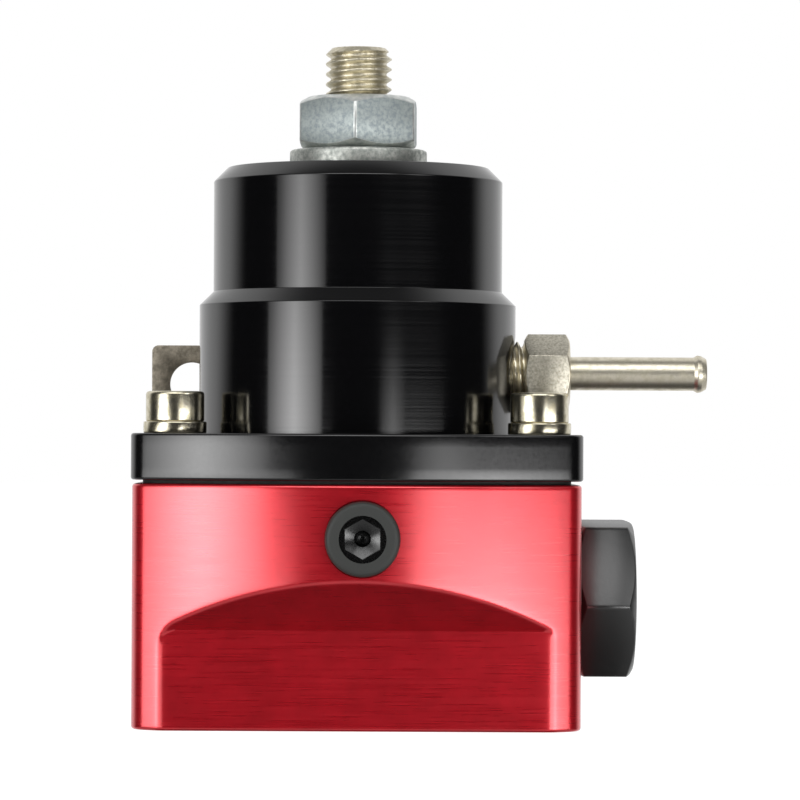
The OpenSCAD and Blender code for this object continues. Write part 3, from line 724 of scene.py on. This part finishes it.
# %% Turn the cover
FLANGE_Z, FLANGE_TOP, STEP_LOW, STEP_HIGH, COVER_TOP = 36.0, 42.75, 61.8, 63.8, 82.2
LOWER_R, UPPER_R, TOP_BEVEL = 23.5, 21.45, 2.05
RECESS_TOP, BORE_R, BORE_TOP = 40, 17.5, 72
STUD_HOLE_R, SCREW_HOLE_R, NIPPLE_HOLE_R, NIPPLE_Z = 4.95, 2.75, 4.75, 51.9
cover = stacked_block(
    "spring_cover_piece", FLANGE_Z, FLANGE_TOP - FLANGE_Z, grow=0.2, edge=0.4, row_mm=1.4, bow_steps=120)
barrels = turned("barrels", eased([
    (0, FLANGE_Z + 1), (LOWER_R, FLANGE_Z + 1), (LOWER_R, STEP_LOW, 0.18), (UPPER_R, STEP_HIGH, 0.12),
    (UPPER_R, COVER_TOP - TOP_BEVEL, 0.3), (UPPER_R - TOP_BEVEL, COVER_TOP, 0.25), (0, COVER_TOP),
]), 256)
combine(cover, [barrels], "UNION")

tools = [turned("spring_bore", [
    (0, FLANGE_Z - 1), (RECESS_R, FLANGE_Z - 1), (RECESS_R, RECESS_TOP), (BORE_R, RECESS_TOP),
    (BORE_R, BORE_TOP), (STUD_HOLE_R, BORE_TOP), (STUD_HOLE_R, COVER_TOP - 0.4),
    (STUD_HOLE_R + 0.8, COVER_TOP + 0.4), (0, COVER_TOP + 0.4),
])]
tools.append(place(turned("nipple_hole", [
    (0, 10), (NIPPLE_HOLE_R, 10), (NIPPLE_HOLE_R, LOWER_R - 1), (NIPPLE_HOLE_R + 1.5, LOWER_R + 0.5),
    (0, LOWER_R + 0.5),
]), at(z=NIPPLE_Z) @ TO_RIGHT))
tools += screw_holes(SCREW_HOLE_R, FLANGE_Z - 1, FLANGE_TOP + 0.75)
combine(cover, tools, "DIFFERENCE")


def on_flange(face):
    """True outside the barrels and no higher than the flange."""
    off_axis = math.hypot(face.center.x, face.center.y)
    return off_axis >= LOWER_R * MM * 1.0005 and face.center.z <= (FLANGE_TOP + 0.02) * MM


two_finishes(cover, black_turned, black_milled, on_flange)
fit(cover, "spring_cover", "housing", crisp=30)

# %% [markdown]
# ## The adjuster
#
# A long stud sets the spring. Its thread is grown by the tree above, and a hexagon socket is cut into its
# end for the key. The lock nut is a forged hexagon with turned bevels, and it bears on a plain washer.

# %% Stud
STUD_R, STUD_ROOT, STUD_PITCH, STUD_FOOT, STUD_TOP = 4.9, 4.15, 1.5, 67, 100.1
stud = threaded_bar("adjusting_stud", STUD_R, STUD_ROOT, STUD_PITCH, STUD_TOP - STUD_FOOT, 0.9, 96, 16)
place(stud, at(z=STUD_FOOT) @ Matrix.Rotation(math.pi, 4, "Z"))
combine(stud, [hexagon_bar("key", 5, STUD_TOP - 6, STUD_TOP + 0.9)], "DIFFERENCE")
fit(stud, "adjusting_screw", "adjuster", nickel_stud, crisp=50)

# %% Lock nut and washer
NUT_FLATS, NUT_TURN, NUT_Z, NUT_TOP = 17, 87, 84.9, 92.8
WASHER_HOLE_R, WASHER_R = 5.2, 10.2
nut = place(wrench_head("lock_nut_piece", NUT_FLATS, NUT_TOP - NUT_Z, NUT_TURN, 0.9), at(z=NUT_Z))
combine(nut, [turned("nut_bore", [
    (0, NUT_Z - 0.6), (STUD_HOLE_R + 0.6, NUT_Z - 0.6), (STUD_HOLE_R, NUT_Z + 0.5),
    (STUD_HOLE_R, NUT_TOP - 0.5), (STUD_HOLE_R + 0.6, NUT_TOP + 0.6), (0, NUT_TOP + 0.6),
])], "DIFFERENCE")


def on_edge_highlight(face):
    """True on the nut's ends, bevels and corners, which get a paler zinc as a painted highlight."""
    lean = (math.degrees(math.atan2(face.normal.y, face.normal.x)) - NUT_TURN) % 60 - 30
    return abs(lean) >= 2 or abs(face.normal.z) >= 0.1


# The nut's ends, bevels and corners get the paler zinc: a painted highlight.
two_finishes(nut, zinc, zinc_edge_highlight, on_edge_highlight)
fit(nut, "lock_nut", "nut", crisp=40)

washer = turned("flat_washer_piece", eased([
    (WASHER_HOLE_R, COVER_TOP + 1.2), (WASHER_HOLE_R, NUT_Z, 0.2), (WASHER_R, NUT_Z, 0.5),
    (WASHER_R, COVER_TOP, 0.35), (WASHER_HOLE_R, COVER_TOP, 0.2), (WASHER_HOLE_R, COVER_TOP + 1.2),
]))
fit(washer, "flat_washer", "nut_washer", zinc_washer)

# %% [markdown]
# ## The vacuum nipple
#
# The nipple is a turned fitting: a short thread into the cover, a hexagon for the wrench, and a tube
# with a bead that keeps the hose on. The three are made apart and joined, and then the bore is cut.

# %% Nipple
HEX_X, TUBE_X, TIP_X = 24.8, 31.5, 51.9
HEX_FLATS, TUBE_R, BEAD_R, TIP_R, HOSE_BORE_R = 10.2, 2.48, 2.8, 2.25, 1.3
nipple = place(wrench_head("vacuum_nipple_piece", HEX_FLATS, TUBE_X - HEX_X, 3.6, 0.15), at(z=HEX_X))
thread = place(threaded_bar("nipple_thread", 4.7, 3.9, 1.25, 7.8, 0.5), at(z=17.5))
tube = turned("nipple_tube", eased([
    (0, HEX_X + 1), (TUBE_R, HEX_X + 1), (TUBE_R, TIP_X - 1.9, 0.3), (BEAD_R, TIP_X - 1.35, 0.4),
    (BEAD_R - 0.1, TIP_X - 0.8, 0.4), (TIP_R, TIP_X, 0.3), (0, TIP_X),
], 5), 64)
combine(nipple, [thread, tube], "UNION")
combine(nipple, [rod("nipple_bore", HOSE_BORE_R, 10, 60, 48)], "DIFFERENCE")
place(nipple, at(z=NIPPLE_Z) @ TO_RIGHT)


def on_hexagon(face):
    """True on the six sides of the nipple's hexagon."""
    return HEX_X < face.center.x / MM < TUBE_X and abs(face.normal.x) < 0.1


two_finishes(nipple, nickel_tube, nickel_hexagon, on_hexagon)
fit(nipple, "vacuum_nipple", "housing", crisp=40)

# %% [markdown]
# ## Plugs
#
# The gauge port is closed by a socket plug with a well rounded rim. Its socket has a sloped floor with a
# drilled middle, as a broach leaves it. The right-hand port has a blasted hexagon plug, whose bevelled
# end faces outwards.

# %% Gauge plug
PLUG_R, PLUG_FOOT, PLUG_FACE = 5.35, -7.5, 1.7
FLOOR_R, FLOOR_EDGE, FLOOR_MIDDLE = 3.2, -1.85, -3.3
DRILL_R, DRILL_END = 1.2, -6.5
gauge_plug = turned("gauge_plug_piece", eased([
    (0, PLUG_FOOT), (PLUG_R, PLUG_FOOT), (PLUG_R, PLUG_FACE, 0.9), (0, PLUG_FACE),
], 6))
key = hexagon_bar("key", 5, -4, 2, 30)
key_floor = [(0, FLOOR_MIDDLE), (FLOOR_R, FLOOR_EDGE), (FLOOR_R, 2.2), (0, 2.2)]
combine(key, [turned("key_floor", key_floor, 96)], "INTERSECT")
combine(gauge_plug, [
    key,
    turned("key_drill", [(0, DRILL_END), (DRILL_R, DRILL_END + 0.7), (DRILL_R, -2), (0, -2)], 48),
    turned("socket_mouth", [(0, 0.6), (2.5, 0.6), (3.35, 1.6), (3.45, 1.9), (0, 1.9)], 64),
], "DIFFERENCE")


def in_socket(face):
    """True inside the key's socket."""
    return math.hypot(face.center.x, face.center.y) < 3.42 * MM and face.center.z > -7 * MM


# The socket gets a darker, glossier oxide: the darkness is painted shade inside it.
two_finishes(gauge_plug, black_oxide, socket_shade_oxide, in_socket)
place(gauge_plug, IN_GAUGE_PORT)
fit(gauge_plug, "gauge_port_plug", "housing")

# %% Port plug
PLUG_FLATS, PLUG_HEAD, PLUG_TURN = 22.2, 8.5, 94.2
STEM_R, STEM_END, NECK_R = 8.7, -11, 7.6
port_plug = wrench_head("port_plug_piece", PLUG_FLATS, PLUG_HEAD, PLUG_TURN, 0.3)
stem = turned("plug_stem", [
    (0, STEM_END), (STEM_R - 1, STEM_END), (STEM_R, STEM_END + 1), (STEM_R, -MOUTH_DEPTH),
    (NECK_R, -MOUTH_DEPTH), (NECK_R, 1), (0, 1),
])
combine(port_plug, [stem], "UNION")
place(port_plug, IN_RIGHT_PORT)
fit(port_plug, "inlet_port_plug", "housing", blasted_black)

# %% [markdown]
# ## Screws and lock washers
#
# Four socket head screws hold the cover. They repeat, so one screw is made and a Geometry Nodes tree
# sets copies of it on points. The front pair sits on split lock washers, and the rear pair holds the
# bracket, so its points lie a little higher.

# %% Geometry Nodes: copies on points
copies_tree = bpy.data.node_groups.new("copies_on_points", "GeometryNodeTree")
tree = copies_tree
tree.interface.new_socket("Points", in_out="INPUT", socket_type="NodeSocketGeometry")
tree.interface.new_socket("Pattern", in_out="INPUT", socket_type="NodeSocketObject")
source = add(tree, "NodeGroupInput").outputs
pattern = add(tree, "GeometryNodeObjectInfo", {"Object": source["Pattern"]})
copies = add(tree, "GeometryNodeInstanceOnPoints", {
    "Points": source["Points"], "Instance": pattern.outputs["Geometry"],
})
end_tree(tree, copies.outputs["Instances"])


def copied(name, pattern, places, material):
    """Sets a copy of the pattern at each place and keeps the result as one plain mesh."""
    points = bpy.data.meshes.new(name)
    points.from_pydata([Vector(p) * MM for p in places], [], [])
    piece = grown(name, copies_tree, points, pattern=pattern, material=material)
    bpy.data.objects.remove(pattern)
    return piece


print("made the tree", copies_tree.name, "with", len(copies_tree.nodes), "nodes")

# %% Socket head screws
HEAD_R, HEAD_H, SHANK_R, SHANK, DISH_R = 4.25, 4.4, 2.45, 18.75, 2.7
LOCK_T, SHEET_T = 1.7, 1.5
screw = turned("screw", eased([
    (0, -SHANK), (SHANK_R - 0.35, -SHANK), (SHANK_R, -SHANK + 0.4), (SHANK_R, 0), (HEAD_R, 0, 0.25),
    (HEAD_R, HEAD_H, 0.55), (DISH_R, HEAD_H, 0.1), (DISH_R - 0.25, HEAD_H - 0.25), (0, HEAD_H - 0.25),
]), 96)
combine(screw, [hexagon_bar("key", 4, HEAD_H - 2.8, HEAD_H + 1, 15)], "DIFFERENCE")
shade(screw)
front_seats = [(side * BOLT_X, -BOLT_Y, FLANGE_TOP) for side in (-1, 1)]
seats = [(x, y, z + LOCK_T) for x, y, z in front_seats]
seats += [(side * BOLT_X, BOLT_Y, FLANGE_TOP + SHEET_T) for side in (-1, 1)]
screws = copied("cover_screw_set", screw, seats, nickel)
fit(screws, "cover_screws", "housing")

# %% Split lock washers
def split_washer(name, inner, outer, thick, slit, slant, steps=88):
    """A ring of square wire with a slanted slit at the back."""
    section = eased([
        (inner, thick / 2), (inner, thick, 0.12), (outer, thick, 0.22), (outer, 0, 0.22), (inner, 0, 0.12),
        (inner, thick / 2),
    ], 3)[:-1]
    gap = slit / (inner + outer)
    rings = []
    for i in range(steps + 1):
        along = math.pi / 2 + gap + (2 * math.pi - 2 * gap) * i / steps
        angles = [along + (z - thick / 2) * slant / r for r, z in section]
        rings.append([(r * math.cos(a), r * math.sin(a), z) for a, (r, z) in zip(angles, section)])
    return loft(name, rings)


ring = split_washer("ring", 2.75, 4.6, LOCK_T, 0.9, 0.7)
shade(ring)
lock_washers = copied("lock_washer_set", ring, front_seats, nickel)
fit(lock_washers, "lock_washers", "housing")

# %% [markdown]
# ## The bracket
#
# The bracket is punched from sheet and folded up behind the cover. Its section is drawn once, pulled out
# to its width, and then cut: an arc clears the cover, and two pairs of holes take screws. A bevel
# modifier breaks the punched edges.

# %% Fold the bracket
BRACKET_W, BRACKET_H, BRACKET_Y, FOLD_R, TIP_ROUND = 64.0, 13.75, 29.5, 1.5, 1
MOUNT_X, MOUNT_Z, MOUNT_R, CLEARANCE_R = 25.8, 7.7, 3.4, 24.5
front_y, outer_y, outer_r = BOLT_Y - 6, BRACKET_Y + SHEET_T, FOLD_R + SHEET_T


def fold_arc(radius):
    """The fold from the foot to the upright at this radius, as (depth, height) points."""
    angles = [math.radians(-90 + 9 * i) for i in range(11)]
    return [(outer_y - outer_r + radius * math.cos(a), outer_r + radius * math.sin(a)) for a in angles]


section = [(front_y, 0)] + fold_arc(outer_r) + [(outer_y, BRACKET_H), (BRACKET_Y, BRACKET_H)]
section += fold_arc(FOLD_R)[::-1] + [(front_y, SHEET_T)]
bracket = loft("mounting_bracket_piece", [
    [(x, y, z) for y, z in section] for x in (-BRACKET_W / 2, BRACKET_W / 2)
])

# %% Punch the bracket
def corner_cutter(radius, depth):
    """What lies outside a rounded corner whose centre is at the origin, towards +X and +Y."""
    angles = [math.radians(a) for a in range(0, 91, 9)]
    flat = [(radius * math.cos(a), radius * math.sin(a)) for a in angles]
    flat += [(0, radius + 1), (radius + 1, radius + 1), (radius + 1, 0)]
    return loft("corner", [[(x, y, z) for x, y in flat] for z in (-depth, depth)])


tools = [rod("cover_clearance", CLEARANCE_R, -1, 4, 160)]
for side in (-1, 1):
    tools.append(place(rod("screw_hole", SCREW_HOLE_R, -1, 3, 48), at(x=side * BOLT_X, y=BOLT_Y)))
    mount = at(x=side * MOUNT_X, y=BRACKET_Y, z=MOUNT_Z) @ TO_FRONT
    tools.append(place(rod("mounting_hole", MOUNT_R, -3, 3, 64), mount))
    flip = Matrix.Scale(side, 4, (1, 0, 0))
    tip_x = BRACKET_W / 2 - TIP_ROUND
    upper = flip @ at(x=tip_x, y=BRACKET_Y + 0.7, z=BRACKET_H - TIP_ROUND) @ TO_FRONT
    lower = flip @ at(x=tip_x, y=front_y + TIP_ROUND) @ Matrix.Scale(-1, 4, (0, 1, 0))
    for matrix in (upper, lower):
        corner = place(corner_cutter(TIP_ROUND, 2.5), matrix)
        close_seams(corner)
        tools.append(corner)
combine(bracket, tools, "DIFFERENCE")
edges = bracket.modifiers.new("edges", "BEVEL")
edges.width = 0.16 * MM
edges.segments = 2
edges.limit_method = "ANGLE"
edges.angle_limit = math.radians(50)
bake(bracket)
place(bracket, at(z=FLANGE_TOP))
fit(bracket, "mounting_bracket", "housing", zinc_sheet)

# %% [markdown]
# ## The main spring
#
# The spring follows a path, so a tree bends a spiral into it: close turns at both ends and even turns
# between them. A round wire runs along that path. In use, the adjuster presses it shorter.

# %% Geometry Nodes: a coil spring
SPRING_FLOOR, COIL_R, WIRE_R, CLIMB, CLOSE_PITCH, TURNS = 38, 12, 1.5, 24.5, 3.15, 6.5
spring_tree = bpy.data.node_groups.new("coil_spring", "GeometryNodeTree")
tree = spring_tree
inputs_of(tree, {
    "Coil Radius": COIL_R * MM, "Wire Radius": WIRE_R * MM, "Climb": CLIMB * MM,
    "Close Pitch": CLOSE_PITCH * MM, "Turns": TURNS,
})
source = add(tree, "NodeGroupInput").outputs
spiral = add(tree, "GeometryNodeCurveSpiral", {
    "Resolution": 48, "Rotations": source["Turns"], "Start Radius": source["Coil Radius"],
    "End Radius": source["Coil Radius"], "Height": source["Climb"],
})
share = add(tree, "GeometryNodeSplineParameter").outputs["Factor"]
turns = maths(tree, "MULTIPLY", share, source["Turns"])
first = maths(tree, "MULTIPLY", turns, source["Close Pitch"])
left_turns = maths(tree, "SUBTRACT", source["Turns"], turns)
down = maths(tree, "MULTIPLY", left_turns, source["Close Pitch"])
last = maths(tree, "SUBTRACT", source["Climb"], down)
most = maths(tree, "SUBTRACT", source["Turns"], 1.0)
top_close = maths(tree, "SUBTRACT", source["Climb"], source["Close Pitch"])
even = ranged(tree, turns, (1.0, most), (source["Close Pitch"], top_close), clamp=False)
lower = maths(tree, "MAXIMUM", first, even)
level = maths(tree, "MINIMUM", lower, last)
flat = axes_of(tree, add(tree, "GeometryNodeInputPosition").outputs["Position"])
path = add(tree, "GeometryNodeSetPosition", {
    "Geometry": spiral.outputs["Curve"],
    "Position": vector_of(tree, X=flat["X"], Y=flat["Y"], Z=level),
})
wire = add(tree, "GeometryNodeCurvePrimitiveCircle", {
    "Resolution": 16, "Radius": source["Wire Radius"],
})
coil = add(tree, "GeometryNodeCurveToMesh", {
    "Curve": path.outputs["Geometry"], "Profile Curve": wire.outputs["Curve"], "Fill Caps": True,
})
end_tree(tree, coil.outputs["Mesh"])

spring = grown("main_spring_coil", spring_tree, material=turned_steel)
place(spring, at(z=SPRING_FLOOR + WIRE_R))
close_seams(spring)
fit(spring, "main_spring", None, crisp=40)
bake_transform(spring)

# %% [markdown]
# ## Pieces inside
#
# The valve's pieces are right as solids, and they are hidden in the closed body. They keep their meshes
# and only get their finishes.

# %% Finishes of the inner pieces
inner_finish = {
    "diaphragm": diaphragm_rubber, "diaphragm_plate": turned_alloy, "valve_stem": turned_steel,
    "stem_nut": zinc, "valve_ball": turned_steel, "valve_seat": seat_brass, "spring_seat": turned_alloy,
    "inlet_plug_o_ring": seal_rubber,
}
for node, material in inner_finish.items():
    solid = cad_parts[node]
    solid.data.materials.clear()
    solid.data.materials.append(material)
print("finished", len(inner_finish), "solids inside")

# %% [markdown]
# ## Floor, light and background
#
# The regulator stands on a white sweep, with the dark of the room behind the camera. Three soft boxes on
# the left and a low one on the right make the bright strips on the barrels and the pale fields on the
# block. Two smaller ones on the right and one above fill in. They fade from their middle towards their
# edges, so the strips get soft sides. The world is white behind, dim in front and a little lighter
# below: the metal mirrors that.

# %% Floor and world
FLOOR_HALF = 3000
SOFT_STEP = {"interpolation_type": "SMOOTHSTEP"}
floor = new_piece("floor", [
    (x * FLOOR_HALF, y * FLOOR_HALF, 0) for x, y in ((-1, -1), (1, -1), (1, 1), (-1, 1))
], [(0, 1, 2, 3)])
paper, tree, shader, _ = new_material("white_paper")
set_shader(shader, Base_Color=linear("#f4f4f4"), Roughness=0.9, Specular_IOR_Level=0.1)
ray = add(tree, "ShaderNodeLightPath").outputs
glow = add(tree, "ShaderNodeEmission", {"Color": (1, 1, 1, 1), "Strength": 1.25})
blend = add(tree, "ShaderNodeMixShader", {
    "Fac": maths(tree, "MULTIPLY", ray["Is Camera Ray"], 0.78),
    1: shader.outputs["BSDF"], 2: glow.outputs["Emission"],
})
tree.links.new(blend.outputs["Shader"], tree.nodes["Material Output"].inputs["Surface"])
floor.data.materials.append(paper)
floor.visible_glossy = False
floor.visible_shadow = False

world = bpy.data.worlds.new("studio")
bpy.context.scene.world = world
world.use_nodes = True
tree = world.node_tree
tree.nodes.clear()
towards = axes_of(tree, add(tree, "ShaderNodeTexCoord").outputs["Generated"])
lean = maths(tree, "MULTIPLY_ADD", towards["Z"], 0.25, towards["Y"])
behind = ranged(tree, lean, (0.2, 0.62), (0.025, 0.95), **SOFT_STEP)
above = ranged(tree, towards["Z"], (0.2, 0.6), (0.0, 0.14), **SOFT_STEP)
below = ranged(tree, towards["Z"], (-0.25, -0.5), (0.0, 0.52), **SOFT_STEP)
underneath = ranged(tree, towards["Z"], (-0.75, -0.95), (1.0, 0.08), **SOFT_STEP)
level = maths(tree, "MAXIMUM", above, maths(tree, "MULTIPLY", below, underneath))
room = maths(tree, "MAXIMUM", behind, level)
ray = add(tree, "ShaderNodeLightPath").outputs
seen = add(tree, "ShaderNodeMix", {0: ray["Is Camera Ray"], 2: room, 3: 1.0}, data_type="FLOAT")
sky = add(tree, "ShaderNodeBackground", {"Color": (1, 1, 1, 1), "Strength": seen.outputs[0]})
add(tree, "ShaderNodeOutputWorld", {"Surface": sky.outputs["Background"]})
print("floor and world are set")

# %% Soft boxes
AIM_Z = 50


def soft_box(name, azimuth, height, size, radiance, core=(0.0, 0.0), rim=(0.0, 0.0), distance=700):
    """A lamp, azimuth degrees right of the camera, that fades from its core to the rim's share."""
    lamp = bpy.data.lights.new(name, "AREA")
    lamp.shape = "RECTANGLE"
    lamp.size, lamp.size_y = size[0] * MM, size[1] * MM
    lamp.energy = radiance * math.pi * lamp.size * lamp.size_y
    lamp.use_nodes = True
    tree = lamp.node_tree
    spot = axes_of(tree, add(tree, "ShaderNodeNewGeometry").outputs["Parametric"])
    fades = []
    for axis, full, left in zip("XY", core, rim):
        off = maths(tree, "SUBTRACT", spot[axis], 0.5)
        edge = maths(tree, "ABSOLUTE", off)
        fades.append(ranged(tree, edge, (full, 0.5), (1.0, left)))
    feed(tree, tree.nodes["Emission"], {"Strength": maths(tree, "MULTIPLY", *fades)})
    box = new_object(name, lamp)
    a = math.radians(azimuth)
    box.location = Vector((math.sin(a) * distance, -math.cos(a) * distance, height)) * MM
    aim = Vector((0, 0, AIM_Z * MM)) - box.location
    box.rotation_euler = aim.to_track_quat("-Z", "Y").to_euler()


soft_box("left_tall", -45, 260, (480, 760), 1.9, core=(0.0, 0.4))
soft_box("left_low", -46, 50, (530, 400), 5.9, rim=(0.25, 0.0))
soft_box("left_foot", -44, -70, (680, 180), 1.9, core=(0.0, 0.3), rim=(1.0, 0.4))
soft_box("right_low", 40, -90, (640, 224), 6.6, core=(0.0, 0.3), rim=(0.5, 0.75))
soft_box("right_middle", 25, 42, (240, 140), 2.2)
soft_box("right_high", 50, 430, (420, 420), 4.2)
soft_box("top_box", 0, 620, (900, 520), 2.8, core=(0.3, 0.3), distance=560)

# %% [markdown]
# ## Camera
#
# The photograph was taken level, from straight in front and a fair way off. The lens looks at the middle
# of the cover, and the frame is shifted up a little, which keeps upright edges upright.

# %% Camera at the photograph's angle
CAMERA_X, CAMERA_DISTANCE, CAMERA_Z, CAMERA_ROLL = -1, 600, 42.1, -0.28
lens = bpy.data.cameras.new("camera")
lens.sensor_width = 36
lens.lens = 181.4
lens.shift_x = 0.0621
lens.shift_y = 0.048
camera = new_object("camera", lens)
camera.location = Vector((CAMERA_X, -CAMERA_DISTANCE, CAMERA_Z)) * MM
camera.rotation_euler = (math.radians(90), math.radians(CAMERA_ROLL), 0)
bpy.context.scene.camera = camera
bpy.context.scene.view_settings.view_transform = "Standard"
print("camera stands", CAMERA_DISTANCE, "mm in front of the axis")
